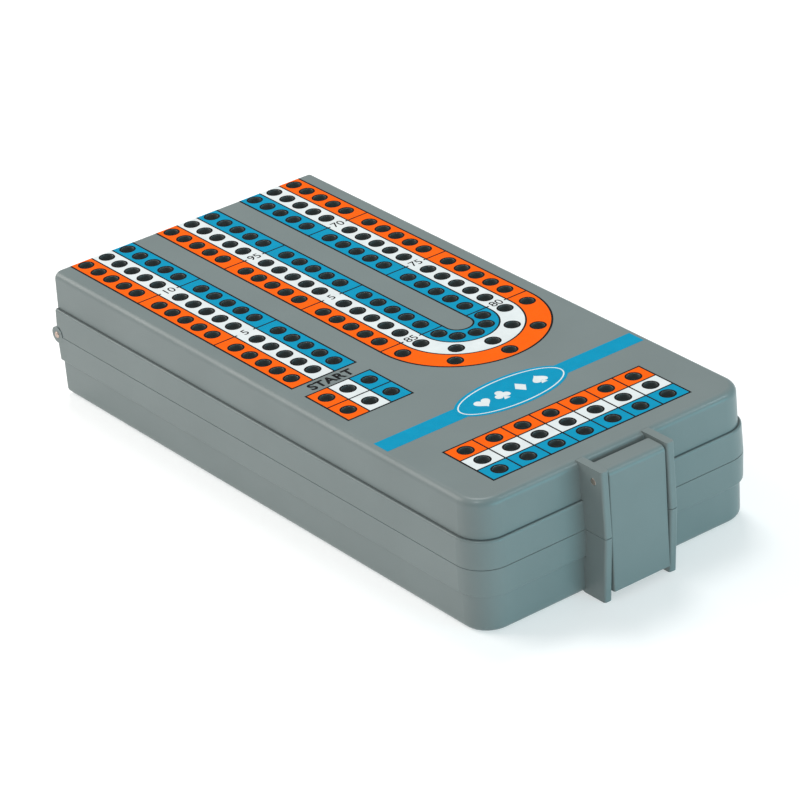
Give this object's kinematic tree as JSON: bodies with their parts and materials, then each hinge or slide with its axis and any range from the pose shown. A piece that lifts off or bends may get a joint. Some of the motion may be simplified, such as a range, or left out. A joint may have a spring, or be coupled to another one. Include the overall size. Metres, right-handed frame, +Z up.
{
  "type": "cribbage board",
  "caption": "Folding pocket cribbage board: a hinged plastic case with a three-lane peg track on both faces, an end latch, and stored pegs and cards.",
  "frame": {"origin": "centre of the bounding box's underside, on the surface the closed case lies on", "axes": "+Z up through the closed case, +Y towards the hinge end, -Y towards the latch end, +X to the right seen from the latch"},
  "size_m": [0.0962, 0.2032, 0.039],
  "materials": {
    "case_plastic": "fine moulded texture, satin",
    "cover_plastic": "fine moulded texture",
    "pin_metal": "drawn wire",
    "peg_orange": "moulded gloss",
    "peg_white": "moulded gloss",
    "peg_blue": "moulded gloss",
    "card_board": "coated card",
    "card_stock": "smooth card edges"
  },
  "bodies": {
    "base": {"base_shell": "case_plastic", "store_divider": "cover_plastic", "hinge_pin": "pin_metal", "card_box": "card_board", "card_deck": "card_stock", "peg_orange_1": "peg_orange", "peg_orange_2": "peg_orange", "peg_orange_3": "peg_orange", "peg_white_1": "peg_white", "peg_white_2": "peg_white", "peg_white_3": "peg_white", "peg_blue_1": "peg_blue", "peg_blue_2": "peg_blue", "peg_blue_3": "peg_blue"},
    "lid": {"lid_shell": "case_plastic", "latch_pin": "pin_metal"},
    "latch": {"latch_lever": "case_plastic"},
    "cover": {"peg_cover": "cover_plastic"}
  },
  "joints": [
    {"name": "case_hinge", "type": "hinge", "parent": "base", "child": "lid", "pos_m": [0, 0.0991, 0.0195], "axis": [-1, 0, 0], "range_deg": [0, 180]},
    {"name": "latch_pivot", "type": "hinge", "parent": "lid", "child": "latch", "pos_m": [0, -0.0976, 0.0352], "axis": [-1, 0, 0], "range_deg": [0, 150]},
    {"name": "cover_slide", "type": "slide", "parent": "base", "child": "cover", "axis": [0, 1, 0], "range_m": [0, 0.088]}
  ]
}
